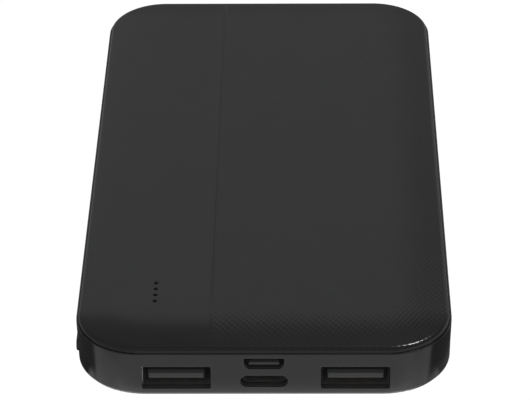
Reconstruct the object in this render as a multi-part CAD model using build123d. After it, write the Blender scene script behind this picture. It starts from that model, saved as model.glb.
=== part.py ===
from build123d import *
import os
from math import asin, cos, pi, sin, sqrt, tan

# Slim pocket power bank: a port-end mid-frame between a crowned top cover and a
# crowned bottom cover, with one pouch cell and one circuit board inside.
# Millimetres. Origin: centre of the underside, on the plane it rests on.
# +Z up, -Y the end with the ports, +X right when looking at the ports.

# ---------------------------------------------------------------- driving dimensions
WIDTH = 70.0             # over the mid-frame
LENGTH = 131.0           # over the mid-frame
RIM_R = 12.1             # plan corner radius of the mid-frame at its top rim
FOOT_R = 12.8            # plan corner radius at its lower rim
FOOT_IN = 0.1            # draft: how far the lower rim sits in from the top rim
BAND_Z0 = 1.6            # underside of the mid-frame
BAND_H = 9.1             # height of the mid-frame
WALL = 1.4               # mid-frame wall
RIM_CHAMFER = 0.12       # round the top rim of the mid-frame
FOOT_FILLET = 0.45       # round the lower rim of the mid-frame

COVER_T = 1.3            # cover thickness
TOP_RUN = 10.0           # width of the top cover's curved shoulder
TOP_DROP = 0.9           # fall of that shoulder
TOP_EDGE = 0.15          # height of the top cover's edge above the mid-frame
TOP_FILLET = 1.0         # radius of the top cover's outer edge
LIP_OUT = 1.5            # locating lip of a cover: inset of its outer face
LIP_IN = 2.6             # inset of its inner face
LIP_H = 1.8              # locating lip height

PCB_Z0, PCB_T = 6.3, 1.0
BOSSES = ((-6.9, -60.8), (7.45, -60.8), (-30.1, -40.6), (30.1, -40.6))   # board screws, x, y

LED_X = -20.38           # row of light holes in the top cover
LED_Y0 = -51.42
LED_PITCH = 1.945
LED_COUNT = 4
LED_R = 0.43

A_PORTS = {"left": -16.05, "right": 16.93}   # USB-A centres in X
A_Z = BAND_Z0 + 3.77
A_CUT = (12.75, 5.0)     # USB-A wall opening
A_OUT = (13.1, 5.7)      # USB-A shell outside
A_LEN = 10.5
C_X, C_Z = 0.12, BAND_Z0 + 2.95
C_CUT = (8.84, 2.6)      # USB-C wall opening, stadium
M_X, M_Z = 0.14, BAND_Z0 + 6.97
M_CUT = (7.4, 2.42)      # Micro-USB wall opening, lower corners cut
M_CORNER = 0.95

BTN_Y0, BTN_Y1 = -55.4, -47.8   # power button, on the left wall
BTN_Z = 4.9
BTN_H = 2.5
BTN_R = 1.2
BTN_PROUD = 0.15
BTN_FIT = 0.05           # clearance round the button in its hole
BTN_POCKET = 3.2         # depth cleared behind the button, from the mid-frame's outer face

CELL_X = 30.0            # half width of the pouch cell
CELL_Y0, CELL_Y1 = -30.0, 59.0
CELL_Z0, CELL_Z1 = 1.75, 10.65

# ---------------------------------------------------------------- derived
BAND_Z1 = BAND_Z0 + BAND_H
ARC_R = (TOP_RUN * TOP_RUN + TOP_DROP * TOP_DROP) / (2 * TOP_DROP)
ARC_ANGLE = asin(TOP_RUN / ARC_R)
EDGE_SWEEP = pi / 2 - ARC_ANGLE      # angle turned by the edge fillet of either cover
TOP_Z = BAND_Z1 + TOP_EDGE + TOP_FILLET * cos(ARC_ANGLE) + TOP_DROP   # overall height
TOP_IN_Z = TOP_Z - COVER_T           # flat underside of the top cover
HALF_W, HALF_L = WIDTH / 2, LENGTH / 2
FRONT_OUT = -HALF_L                  # outer face of the port end
FRONT_IN = FRONT_OUT + WALL          # inner face of the port end
PORT_Y = FRONT_IN + 0.1              # front plane of the connectors
PCB_Z1 = PCB_Z0 + PCB_T
BTN_Y = (BTN_Y0 + BTN_Y1) / 2
BTN_L = BTN_Y1 - BTN_Y0
LED_YS = [LED_Y0 + k * LED_PITCH for k in range(LED_COUNT)]


# ---------------------------------------------------------------- shape helpers
def block(x0, x1, y0, y1, z0, z1):
    """Box from its limits; each pair may come in either order."""
    centre = Pos((x0 + x1) / 2, (y0 + y1) / 2, (z0 + z1) / 2)
    return centre * Box(abs(x1 - x0), abs(y1 - y0), abs(z1 - z0))


def button_block(x0, x1, half_len, z0, z1):
    """Box centred on the button lengthwise."""
    return block(x0, x1, BTN_Y - half_len, BTN_Y + half_len, z0, z1)


def post(x, y, z0, z1, radius):
    """Upright cylinder from z0 to z1."""
    return Pos(x, y, (z0 + z1) / 2) * Cylinder(radius, z1 - z0)


def along_y(sketch, x, z, y0, y1):
    """Sketch in X-Z extruded from y0 to y1."""
    plane = Plane(origin=(x, y0, z), x_dir=(1, 0, 0), z_dir=(0, -1, 0))
    return extrude(plane * sketch, amount=-(y1 - y0))


def along_x(sketch, y, z, x0, x1):
    """Sketch in Y-Z extruded from x0 to x1."""
    plane = Plane(origin=(x0, y, z), x_dir=(0, 1, 0), z_dir=(1, 0, 0))
    return extrude(plane * sketch, amount=x1 - x0)


def stadium(width, height):
    return RectangleRounded(width, height, height / 2 - 0.01)


def micro_outline(width, height, corner, radius):
    """Micro-USB outline: a rectangle with its lower corners cut and all corners rounded."""
    right, top = width / 2, height / 2
    foot = right - corner * 0.8
    face = make_face(Polyline(
        (-right, top), (right, top), (right, -top + corner),
        (foot, -top), (-foot, -top), (-right, -top + corner), close=True))
    return fillet(face.vertices(), radius)


def on_board(places, size_x, size_y, height):
    """Equal blocks standing on the board, centred on the x, y places."""
    return Compound([block(x - size_x / 2, x + size_x / 2, y - size_y / 2, y + size_y / 2,
                           PCB_Z1, PCB_Z1 + height) for x, y in places])


# ---------------------------------------------------------------- snaps round the plan
SNAP_LEN = 5.0
SNAP_PROUD = 0.35
SNAP_NEAR, SNAP_FAR = 1.05, 1.6      # distances from the mid-frame's rim
SNAP_CLEAR = 0.15                    # pocket clearance in height and depth
SNAP_END_CLEAR = 0.3                 # pocket clearance at each end
SNAPS_SIDE = (-28.0, 2.0, 32.0, 46.0)
SNAPS_END = (-16.0, 16.0)


def snaps(rim_z, side, front, clear=0, end_clear=0):
    """Snap blocks on the side and rear walls, and at the port end if front is set.

    side is +1 for the top cover, -1 for the bottom cover.
    """
    z_near = rim_z - side * (SNAP_NEAR - clear)
    z_far = rim_z - side * (SNAP_FAR + clear)
    half = SNAP_LEN / 2 + end_clear
    root = -LIP_OUT - 0.01
    tip = -LIP_OUT + SNAP_PROUD + clear
    out = []
    for y in SNAPS_SIDE:
        for s in (-1, 1):
            out.append(block(s * (HALF_W + root), s * (HALF_W + tip),
                             y - half, y + half, z_near, z_far))
    for x in SNAPS_END:
        for s in ((1, -1) if front else (1,)):
            out.append(block(x - half, x + half,
                             s * (HALF_L + root), s * (HALF_L + tip), z_near, z_far))
    return out


# ---------------------------------------------------------------- mid-frame
BOSS_Z0, BOSS_R = 3.5, 2.0
BOSS_HOLE_Z0, BOSS_HOLE_R = 3.9, 0.75
WEB_HALF = 1.2           # half thickness of the web from a boss to the wall
BITE = 0.3               # overlap of webs and ribs into the wall
STOP_X, STOP_Y, STOP_Z = 19.0, (-36.6, -35.6), (3.6, 8.6)        # ribs ahead of the cell
REAR_X, REAR_HALF, REAR_Y, REAR_Z = 15, 0.6, 59.5, (3.9, 8.7)    # ribs behind the cell


def frame_supports():
    """Screw bosses tied to the wall, stop ribs ahead of the cell and ribs behind it."""
    wall_x = HALF_W - WALL + BITE
    out = []
    for x, y in BOSSES:
        out.append(post(x, y, BOSS_Z0, PCB_Z0, BOSS_R))
        if y < -50:
            out.append(block(x - WEB_HALF, x + WEB_HALF, FRONT_IN - BITE, y, BOSS_Z0, PCB_Z0))
        else:
            s = 1 if x > 0 else -1
            out.append(block(x, s * wall_x, y - WEB_HALF, y + WEB_HALF, BOSS_Z0, PCB_Z0))
    for s in (-1, 1):
        out.append(block(s * STOP_X, s * wall_x, *STOP_Y, *STOP_Z))
        out.append(block(s * REAR_X - REAR_HALF, s * REAR_X + REAR_HALF,
                         REAR_Y, HALF_L - WALL + BITE, *REAR_Z))
    return out


def port_openings():
    a_cut = RectangleRounded(*A_CUT, 0.35)
    cuts = [(a_cut, x, A_Z) for x in A_PORTS.values()]
    cuts.append((stadium(*C_CUT), C_X, C_Z))
    cuts.append((micro_outline(*M_CUT, M_CORNER, 0.3), M_X, M_Z))
    return [along_y(cut, x, z, FRONT_OUT - 1, FRONT_IN + 1.4) for cut, x, z in cuts]


def mid_frame():
    foot = RectangleRounded(WIDTH - 2 * FOOT_IN, LENGTH - 2 * FOOT_IN, FOOT_R)
    foot = Pos(0, 0, BAND_Z0) * foot
    rim = Pos(0, 0, BAND_Z1 - RIM_CHAMFER) * RectangleRounded(WIDTH, LENGTH, RIM_R)
    crest = Pos(0, 0, BAND_Z1) * RectangleRounded(
        WIDTH - 2 * RIM_CHAMFER, LENGTH - 2 * RIM_CHAMFER, RIM_R - RIM_CHAMFER)
    wall = loft([foot, rim], ruled=True)
    wall = fillet(wall.faces().sort_by(Axis.Z)[0].edges(), FOOT_FILLET)
    band = wall + loft([rim, crest], ruled=True)
    band = band - Pos(0, 0, BAND_Z0 - 1) * extrude(
        RectangleRounded(WIDTH - 2 * WALL, LENGTH - 2 * WALL, RIM_R - WALL), amount=BAND_H + 2)
    band = band + frame_supports()
    band = band - [post(x, y, BOSS_HOLE_Z0, PCB_Z0 + 1, BOSS_HOLE_R) for x, y in BOSSES]
    band = band - port_openings()
    # button hole, with a flat pocket behind it for the button's flange
    hole = RectangleRounded(BTN_L + 2 * BTN_FIT, BTN_H + 2 * BTN_FIT, BTN_R + BTN_FIT)
    band = band - along_x(hole, BTN_Y, BTN_Z, -HALF_W - 1, -HALF_W + 3)
    band = band - button_block(-HALF_W + WALL, -HALF_W + BTN_POCKET, 5.5,
                               BTN_Z - 2.4, BTN_Z + 2.4)
    # pockets the covers snap into
    band = band - snaps(BAND_Z1, 1, True, SNAP_CLEAR, SNAP_END_CLEAR)
    return band - snaps(BAND_Z0, -1, False, SNAP_CLEAR, SNAP_END_CLEAR)


# ---------------------------------------------------------------- crowned covers
def section_face(steps, corner_r):
    """Closed face in the X-Z plane from (end,) lines and (mid, end) arcs; the first is the start.

    Points are (inset from the mid-frame's outer face, z); X = 0 is the plan corner's centre.
    """
    def point(p):
        return (corner_r - p[0], 0, p[1])

    start = current = steps[0][0]
    edges = []
    for step in steps[1:] + [(start,)]:
        if len(step) == 1:
            edges.append(Edge.make_line(point(current), point(step[0])))
        else:
            edges.append(Edge.make_three_point_arc(point(current), point(step[0]), point(step[1])))
        current = step[-1]
    return Face(Wire(edges))


def rounded_ring(face, corner_r):
    """The section carried round the plan: four corners, two long sides, two ends."""
    x, y = HALF_W - corner_r, HALF_L - corner_r
    out = []
    for k, (sx, sy) in enumerate(((1, 1), (-1, 1), (-1, -1), (1, -1))):
        corner = revolve(face, Axis.Z, 90)
        out.append(Pos(sx * x, sy * y, 0) * Rot(0, 0, 90 * k) * corner)
    side = extrude(face, amount=2 * y, dir=(0, 1, 0))
    out.append(Pos(x, -y, 0) * side)
    out.append(Pos(-x, y, 0) * Rot(0, 0, 180) * side)
    end = extrude(face, amount=2 * x, dir=(0, 1, 0))
    out.append(Pos(x, y, 0) * Rot(0, 0, 90) * end)
    out.append(Pos(-x, -y, 0) * Rot(0, 0, -90) * end)
    return out


def cover_shell(side, rim_z, flat_z, corner_r, inset, edge, edge_r, gap, gap_in, run):
    """Crowned cover with its locating lip; side is +1 for the top, -1 for the bottom.

    Returns the solid, the inset where the flat begins, and the height of the lip's root.
    """
    # edge fillet
    edge_z = rim_z + side * edge
    edge_mid, edge_end = [(inset + edge_r * (1 - cos(a)), edge_z + side * edge_r * sin(a))
                          for a in (EDGE_SWEEP / 2, EDGE_SWEEP)]
    # long-radius shoulder, tangent to the flat
    drop = abs(flat_z - edge_end[1])
    arc_r = (run * run + drop * drop) / (2 * drop)
    half = asin(run / arc_r) / 2
    flat_in = edge_end[0] + run
    arc_mid = (flat_in - arc_r * sin(half), flat_z - side * arc_r * (1 - cos(half)))
    # inside of the shoulder, one cover thickness in, ending at the lip's inner face
    inner_r = arc_r - COVER_T
    inner_z = flat_z - side * COVER_T
    reach = flat_in - LIP_IN
    inner_mid, inner_end = [
        (flat_in - d, inner_z - side * (inner_r - sqrt(inner_r * inner_r - d * d)))
        for d in (reach / 2, reach)]
    lip_z = rim_z - side * LIP_H
    gap_z = rim_z + side * gap
    steps = [
        ((LIP_OUT, lip_z),), ((LIP_OUT, rim_z),),
        ((gap_in, rim_z),), ((gap_in, gap_z),),          # shadow gap
        ((inset, gap_z),), ((inset, edge_z),),
        (edge_mid, edge_end), (arc_mid, (flat_in, flat_z)),
        ((corner_r, flat_z),), ((corner_r, inner_z),),
        ((flat_in, inner_z),), (inner_mid, inner_end),
        ((LIP_IN, lip_z),)]
    x, y = HALF_W - corner_r, HALF_L - corner_r
    middle = block(-x, x, -y, y, inner_z, flat_z)
    shell = middle + rounded_ring(section_face(steps, corner_r), corner_r)
    return shell, flat_in, inner_end[1]


# ---------------------------------------------------------------- top cover
GROOVE_X = -9.7          # lengthwise groove
GROOVE_W = 0.4
GROOVE_D = 0.08


def groove_cutter(flat_in):
    """Slab that stands on the outer surface lowered by the groove's depth."""
    y_flat = HALF_L - flat_in
    floor_z = TOP_Z - GROOVE_D
    floor_r = ARC_R - GROOVE_D
    past = 2.0           # tangent run beyond the shoulder's arc
    arc_mid, arc_end = [(y_flat + floor_r * sin(a), floor_z - floor_r * (1 - cos(a)))
                        for a in (ARC_ANGLE / 2, ARC_ANGLE)]
    y_out = arc_end[0] + past
    rear = [(y_flat, floor_z), arc_mid, arc_end,
            (y_out, arc_end[1] - past * tan(ARC_ANGLE)), (y_out, TOP_Z + 2)]
    flat, mid, end, out, top = [(0, y, z) for y, z in rear]
    front_flat, front_mid, front_end, front_out, front_top = [(0, -y, z) for y, z in rear]
    edges = [Edge.make_line(front_flat, flat),
             Edge.make_three_point_arc(flat, mid, end),
             Edge.make_line(end, out),
             Edge.make_line(out, top),
             Edge.make_line(top, front_top),
             Edge.make_line(front_top, front_out),
             Edge.make_line(front_out, front_end),
             Edge.make_three_point_arc(front_end, front_mid, front_flat)]
    slab = extrude(Face(Wire(edges)), amount=GROOVE_W, dir=(1, 0, 0))
    return Pos(GROOVE_X - GROOVE_W / 2, 0, 0) * slab


def top_cover():
    cover, flat_in, lip_root = cover_shell(
        side=1, rim_z=BAND_Z1, flat_z=TOP_Z, corner_r=RIM_R, inset=0.3, edge=TOP_EDGE,
        edge_r=TOP_FILLET, gap=0.1, gap_in=1.05, run=TOP_RUN)
    cover = cover + snaps(BAND_Z1, 1, True)
    # room for the Micro-USB shell
    cover = cover - block(-5.0, 5.3, FRONT_IN, FRONT_IN + 3.0, BAND_Z1 - LIP_H - 1, lip_root)
    cover = cover - groove_cutter(flat_in)
    return cover - [post(LED_X, y, TOP_Z - 3, TOP_Z + 1, LED_R) for y in LED_YS]


# ---------------------------------------------------------------- bottom cover
def bottom_cover():
    cover, _, lip_root = cover_shell(
        side=-1, rim_z=BAND_Z0, flat_z=0.0, corner_r=FOOT_R, inset=0.6, edge=0.2,
        edge_r=0.3, gap=0.15, gap_in=0.8, run=11.0)
    cover = cover + snaps(BAND_Z0, -1, False)
    # the lip is left out behind the ports and behind the button
    above_lip = BAND_Z0 + LIP_H + 1
    cover = cover - block(-24.0, 25.0, FRONT_IN, FRONT_IN + 3.0, lip_root, above_lip)
    return cover - button_block(-HALF_W + WALL, -HALF_W + BTN_POCKET, 6, lip_root, above_lip)


# ---------------------------------------------------------------- light guide
def led_light_guide():
    """Bar under the top cover with a pin up each light hole and a leg down to each LED."""
    pin_z0 = 11.0
    guide = block(LED_X - 1.5, LED_X + 1.5, LED_YS[0] - 1.1, LED_YS[-1] + 1.1,
                  10.5, TOP_IN_Z - 0.02)
    guide = guide + [post(LED_X, y, pin_z0, TOP_Z - 0.45, LED_R - 0.04) for y in LED_YS]
    return guide + [post(LED_X, y, 8.05, pin_z0, 0.55) for y in LED_YS]


# ---------------------------------------------------------------- circuit board
PCB_HALF_W = 32.2
PCB_Y0, PCB_Y1 = FRONT_OUT + 1.6, -37.9
PCB_FRONT_R, PCB_REAR_R = 10.9, 1.0
PCB_HOLE_R = 0.95
A_NOTCH_FIT = 0.2        # clearance round a USB-A shell in the board


def main_pcb():
    outline = Pos(0, (PCB_Y0 + PCB_Y1) / 2) * Rectangle(2 * PCB_HALF_W, PCB_Y1 - PCB_Y0)
    board = Pos(0, 0, PCB_Z0) * extrude(outline, amount=PCB_T)
    board = fillet(board.edges().filter_by(Axis.Z).group_by(Axis.Y)[0], PCB_FRONT_R)
    board = fillet(board.edges().filter_by(Axis.Z).group_by(Axis.Y)[-1], PCB_REAR_R)
    notch = A_OUT[0] / 2 + A_NOTCH_FIT
    for x in A_PORTS.values():
        board = board - block(x - notch, x + notch, PCB_Y0 - 1, PORT_Y + A_LEN + A_NOTCH_FIT,
                              PCB_Z0 - 1, PCB_Z1 + 1)
    return board - [post(x, y, PCB_Z0 - 1, PCB_Z1 + 1, PCB_HOLE_R) for x, y in BOSSES]


# ---------------------------------------------------------------- USB-A, set into the board
SHEET = 0.3              # shell sheet thickness, USB-A and USB-C
A_SHELL_Z = A_Z - 0.05   # shell centre height
A_END = PORT_Y + A_LEN
A_TONGUE_Y0 = FRONT_OUT + 0.5
A_TONGUE_Z0, A_TONGUE_Z1 = A_Z - 0.45, A_Z + 1.25
A_CONTACTS = (-3.5, -1.0, 1.0, 3.5)          # from the port's centre
FINGER_X, FINGER_IN, FINGER_OUT = 3.2, 0.85, 1.1   # centre, half widths inside and over slots


def usb_a_shell(x):
    width, height = A_OUT
    tube = (RectangleRounded(width, height, 0.6)
            - RectangleRounded(width - 2 * SHEET, height - 2 * SHEET, 0.3))
    shell = along_y(tube, x, A_SHELL_Z, PORT_Y, A_END)
    # tabs that rest on the board
    shell = shell + [block(x + s * (width / 2 + 1.05), x + s * (width / 2 - 0.1),
                           -58.6, -56.4, PCB_Z1, PCB_Z1 + 0.3) for s in (-1, 1)]
    # narrow U-shaped slots round the spring fingers in the top and bottom sheets
    for finger in (x - FINGER_X, x + FINGER_X):
        for z in (A_SHELL_Z - height / 2, A_SHELL_Z + height / 2):
            for s in (-1, 1):
                shell = shell - block(finger + s * FINGER_OUT, finger + s * FINGER_IN,
                                      PORT_Y + 2.2, PORT_Y + 6.6, z - 0.5, z + 0.5)
            shell = shell - block(finger - FINGER_OUT, finger + FINGER_OUT,
                                  PORT_Y + 2.0, PORT_Y + 2.25, z - 0.5, z + 0.5)
    return shell


def usb_a_tongue(x):
    """Insulator: rear block and the tongue that carries the contacts on its underside."""
    y0, y1 = A_TONGUE_Y0, A_END - 1.5
    z0, z1 = A_TONGUE_Z0, A_TONGUE_Z1
    rear = along_y(RectangleRounded(12.4, 5.0, 0.35), x, A_SHELL_Z, A_END - 1.9, A_END - 0.05)
    profile = make_face(Polyline((y0, z0 + 0.15), (y0 + 0.15, z0), (y1, z0),
                                 (y1, z1), (y0 + 0.45, z1), (y0, z1 - 0.5), close=True))
    tongue = along_x(profile, 0, 0, x - 5.2, x + 5.2)
    tongue = chamfer(tongue.edges().filter_by(Axis.Z).group_by(Axis.Y)[0], 0.2)
    tongue = tongue + rear
    return tongue - [block(x + dx - 0.55, x + dx + 0.55, y0 + 0.9, A_END + 0.1,
                           z0 - 0.1, z0 + 0.25) for dx in A_CONTACTS]


def usb_a_contacts(x):
    return Compound([block(x + dx - 0.5, x + dx + 0.5, A_TONGUE_Y0 + 1.2, A_END + 1.6,
                           A_TONGUE_Z0 + 0.02, A_TONGUE_Z0 + 0.22) for dx in A_CONTACTS])


# ---------------------------------------------------------------- USB-C, under the board
C_OUT = (8.94, 3.16)
C_END = PORT_Y + 7.3
C_TONGUE_T = 0.7
C_PITCH = 0.5
C_CONTACT_T = 0.08


def usb_c_shell():
    width, height = C_OUT
    tube = stadium(width, height) - stadium(width - 2 * SHEET, height - 2 * SHEET)
    shell = along_y(tube, C_X, C_Z, PORT_Y, C_END)
    # legs up to the board
    return shell + [block(C_X + s * (width / 2 - 0.28), C_X + s * (width / 2 + 0.02),
                          y, y + 1.2, C_Z, PCB_Z0)
                    for s in (-1, 1) for y in (PORT_Y + 1.4, PORT_Y + 5.0)]


def usb_c_tongue():
    rear = along_y(stadium(C_OUT[0] - 0.7, C_OUT[1] - 0.7), C_X, C_Z, C_END - 1.5, C_END - 0.05)
    tongue = along_y(RectangleRounded(6.66, C_TONGUE_T, 0.2), C_X, C_Z,
                     PORT_Y + 0.75, C_END - 1.0)
    return tongue + rear


def usb_c_contacts():
    """Twelve contacts on each face of the tongue."""
    out = []
    for i in range(12):
        x = C_X + (i - 5.5) * C_PITCH
        for s in (-1, 1):
            face_z = C_Z + s * C_TONGUE_T / 2
            out.append(block(x - 0.13, x + 0.13, PORT_Y + 1.3, C_END - 1.5,
                             face_z, face_z + s * C_CONTACT_T))
    return Compound(out)


# ---------------------------------------------------------------- Micro-USB, on the board
M_END = PORT_Y + 5.6
M_TAB_Y = (PORT_Y + 3.0, PORT_Y + 4.6)
M_TONGUE_Z, M_TONGUE_T = M_Z - 0.25, 0.55
M_PITCH = 0.65


def micro_usb_shell():
    tube = micro_outline(7.4, 2.36, 1.0, 0.35) - micro_outline(6.9, 1.86, 0.8, 0.2)
    shell = along_y(tube, M_X, M_Z, PORT_Y, M_END)
    # on each side, a foot on the board and an upright joining it to the shell
    tabs = []
    for s in (-1, 1):
        for reach, z_top in ((4.35, PCB_Z1 + 0.25), (3.7, M_Z + 0.2)):
            tabs.append(block(M_X + s * 3.46, M_X + s * reach, *M_TAB_Y, PCB_Z1, z_top))
    return shell + tabs


def micro_usb_tongue():
    rear = along_y(micro_outline(6.8, 1.76, 0.75, 0.18), M_X, M_Z, M_END - 1.4, M_END - 0.05)
    tongue = along_y(RectangleRounded(5.6, M_TONGUE_T, 0.15), M_X, M_TONGUE_Z,
                     FRONT_OUT + 0.45, M_END - 1.0)
    return tongue + rear


def micro_usb_contacts():
    z = M_TONGUE_Z - M_TONGUE_T / 2
    xs = [M_X + (i - 2) * M_PITCH for i in range(5)]
    return Compound([block(x - 0.2, x + 0.2, FRONT_OUT + 1.0, M_END - 1.4, z - 0.08, z)
                     for x in xs])


# ---------------------------------------------------------------- power button and its switch
SWITCH_X0, SWITCH_X1 = -31.0, -27.6
SWITCH_Z = 5.0


def power_button():
    """Rounded cap, flange behind the wall and a nose towards the switch."""
    flange_x = -HALF_W + WALL + 0.05
    cap = along_x(RectangleRounded(BTN_L, BTN_H, BTN_R), BTN_Y, BTN_Z,
                  -HALF_W - BTN_PROUD, flange_x + 0.2)
    cap = fillet(cap.faces().sort_by(Axis.X)[0].edges(), 0.28)
    button = cap + along_x(RectangleRounded(10.4, 4.2, 1.0), BTN_Y, BTN_Z,
                           flange_x, flange_x + 0.7)
    return button + button_block(flange_x + 0.6, -31.9, 2.0, SWITCH_Z - 0.7, SWITCH_Z + 0.7)


def tact_switch_body():
    body = button_block(SWITCH_X0, SWITCH_X1, 3.0, 3.75, PCB_Z0 - 0.02)
    return body - button_block(-31.5, -29.2, 1.55, SWITCH_Z - 0.6, SWITCH_Z + 0.6)


def tact_switch_plunger():
    return button_block(-31.85, -29.5, 1.5, SWITCH_Z - 0.55, SWITCH_Z + 0.55)


def tact_switch_frame():
    """Plate under the switch with a leg up to the board at each end."""
    frame = button_block(SWITCH_X0, SWITCH_X1, 3.22, 3.52, 3.73)
    return frame + [block(-30.4, -28.2, BTN_Y + s * 3.22, BTN_Y + s * 3.02, 3.6, PCB_Z0)
                    for s in (-1, 1)]


# ---------------------------------------------------------------- parts on the board
# centres, x, y
INDUCTOR = (13.5, -45.6)
MOSFETS = ((6.9, -49.4), (6.9, -44.6), (20.6, -49.4), (20.6, -44.6))
CAPACITORS = (
    (-5.2, -49.8), (-5.2, -47.4), (-5.2, -45.0), (10.4, -40.2), (13.4, -40.2), (16.4, -40.2),
    (24.8, -48.8), (24.8, -46.0), (-12.6, -48.6), (-12.6, -45.9))
RESISTORS = (
    (-1.6, -43.6), (0.4, -43.6), (2.4, -43.6), (-16.2, -49.4), (-16.2, -47.6), (-16.2, -45.8),
    (-24.6, -50.6), (-24.6, -48.7), (-24.6, -46.8), (-24.6, -44.9), (28.2, -49.0), (28.2, -47.0))


def boost_inductor():
    """Rounded square body with a stepped round recess in its top."""
    body = Pos(*INDUCTOR, PCB_Z1) * extrude(RectangleRounded(7.2, 7.2, 1.0), amount=3.1)
    body = body - post(*INDUCTOR, PCB_Z1 + 2.8, PCB_Z1 + 4, 2.9)
    return body + post(*INDUCTOR, PCB_Z1 + 2.5, PCB_Z1 + 3.0, 2.2)


def controller_ic():
    """Square chip with a round dimple near one corner."""
    chip = block(-1.8, 3.2, -50.9, -45.9, PCB_Z1, PCB_Z1 + 0.85)
    return chip - post(-1.1, -50.2, PCB_Z1 + 0.75, PCB_Z1 + 1, 0.3)


def pcb_screw(x, y):
    """Cross-slotted screw."""
    slot_l, slot_w = 0.85, 0.16      # half length and half width
    slot_z = (PCB_Z1 + 0.5, PCB_Z1 + 2)
    screw = post(x, y, PCB_Z1, PCB_Z1 + 0.95, 1.4)
    screw = fillet(screw.edges().sort_by(Axis.Z)[-1], 0.4)
    screw = screw + post(x, y, 4.2, PCB_Z1, 0.72)
    screw = screw - [block(x - slot_l, x + slot_l, y - slot_w, y + slot_w, *slot_z),
                     block(x - slot_w, x + slot_w, y - slot_l, y + slot_l, *slot_z)]
    return screw.solids()[0]


# ---------------------------------------------------------------- pouch cell and its fittings
CELL_R, CELL_EDGE_R = 2.0, 1.6
TAB_Z = 6.3              # top of the cell's front flange
GUARD_Z0, GUARD_Z1 = TAB_Z + 0.15, TAB_Z + 0.95      # protection board
TAPE_Y, TAPE_T = CELL_Y0 - 4.8, 0.12                 # front face and thickness
TAPE_Z = GUARD_Z1 + 1.05 + TAPE_T                    # top of the tape
PAD_YS = ((-18, -4), (32, 46))


def pouch_cell():
    cell = block(-CELL_X, CELL_X, CELL_Y0, CELL_Y1, CELL_Z0, CELL_Z1)
    cell = fillet(cell.edges().filter_by(Axis.Z), CELL_R)
    cell = fillet(cell.faces().sort_by(Axis.Z)[-1].edges(), CELL_EDGE_R)
    cell = fillet(cell.faces().sort_by(Axis.Z)[0].edges(), CELL_EDGE_R)
    return cell + block(-26, 26, CELL_Y0 - 4.2, CELL_Y0 + 0.5, TAB_Z - 0.4, TAB_Z)


def cell_tab(x):
    return block(x - 3, x + 3, CELL_Y0 - 3.9, CELL_Y0 - 0.9, TAB_Z, GUARD_Z0)


def protection_chips():
    return Compound([block(*limits, GUARD_Z1, GUARD_Z1 + 1.0) for limits in (
        (-7.2, -4.2, -33.6, -31.6), (-1.5, 1.5, -33.9, -31.3), (4.0, 7.0, -33.9, -31.3))])


def insulating_tape():
    """Strip over the protection chips, turned down at its front."""
    tape = block(-9.0, 9.0, TAPE_Y, CELL_Y0 - 0.35, TAPE_Z - TAPE_T, TAPE_Z)
    return tape + block(-9.0, 9.0, TAPE_Y, TAPE_Y + TAPE_T, 5.6, TAPE_Z)


def battery_lead(x_cell, x_board):
    """Wire arching forward from the protection board to the main board."""
    z = PCB_Z1 + 0.6
    start = (x_cell, -32.4, z)
    path = Spline(start, ((x_cell + x_board) / 2, -36.4, 9.0), (x_board, -40.4, z),
                  tangents=((0, -1, 0), (0, -1, 0)))
    return sweep(Plane(origin=start, z_dir=(0, -1, 0)) * Circle(0.6), path=path)


def adhesive_pads():
    return Compound([block(-22, 22, y0, y1, COVER_T + 0.01, CELL_Z0 - 0.02)
                     for y0, y1 in PAD_YS])


# ---------------------------------------------------------------- build and write
parts = {
    "mid_frame": mid_frame(),
    "top_cover": top_cover(),
    "bottom_cover": bottom_cover(),
    "led_light_guide": led_light_guide(),
    "status_leds": on_board([(LED_X, y) for y in LED_YS], 1.6, 0.8, 0.6),
    "main_pcb": main_pcb(),
    "usb_c_shell": usb_c_shell(),
    "usb_c_tongue": usb_c_tongue(),
    "usb_c_contacts": usb_c_contacts(),
    "micro_usb_shell": micro_usb_shell(),
    "micro_usb_tongue": micro_usb_tongue(),
    "micro_usb_contacts": micro_usb_contacts(),
    "power_button": power_button(),
    "tact_switch_body": tact_switch_body(),
    "tact_switch_plunger": tact_switch_plunger(),
    "tact_switch_frame": tact_switch_frame(),
    "boost_inductor": boost_inductor(),
    "controller_ic": controller_ic(),
    "power_mosfets": on_board(MOSFETS, 3.3, 3.3, 0.8),
    "ceramic_capacitors": on_board(CAPACITORS, 2.0, 1.24, 1.2),
    "chip_resistors": on_board(RESISTORS, 1.0, 0.5, 0.35),
    "pcb_screws": Compound([pcb_screw(x, y) for x, y in BOSSES]),
    "pouch_cell": pouch_cell(),
    "cell_tab_positive": cell_tab(11.0),
    "cell_tab_negative": cell_tab(-11.0),
    "protection_board": block(-16.0, 16.0, CELL_Y0 - 4.4, CELL_Y0 - 0.7, GUARD_Z0, GUARD_Z1),
    "protection_chips": protection_chips(),
    "insulating_tape": insulating_tape(),
    "battery_lead_positive": battery_lead(11.5, 8.0),
    "battery_lead_negative": battery_lead(-11.5, -8.0),
    "adhesive_pads": adhesive_pads(),
    "foam_strip": block(-20, 20, -6, 36, CELL_Z1 + 0.02, TOP_IN_Z - 0.04),
}
for port, port_x in A_PORTS.items():
    parts[f"usb_a_{port}_shell"] = usb_a_shell(port_x)
    parts[f"usb_a_{port}_tongue"] = usb_a_tongue(port_x)
    parts[f"usb_a_{port}_contacts"] = usb_a_contacts(port_x)

os.makedirs("parts", exist_ok=True)
for name, shape in parts.items():
    export_step(shape, f"parts/{name}.step")
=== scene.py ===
"""Power bank lying flat: width along X, length along Y, ports at the front (-Y), cover up (+Z).

The pieces come from the CAD frame. The top cover is rebuilt here with a field of fine diagonal
ribs, a groove along Y and a plain strip on the left (-X) with four light holes.
Dimensions are in millimetres; shaders, lights and Blender itself work in metres.
"""

import math

import bmesh
import bpy
import numpy as np
from mathutils import Matrix, Vector
from mathutils.geometry import delaunay_2d_cdt


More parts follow.
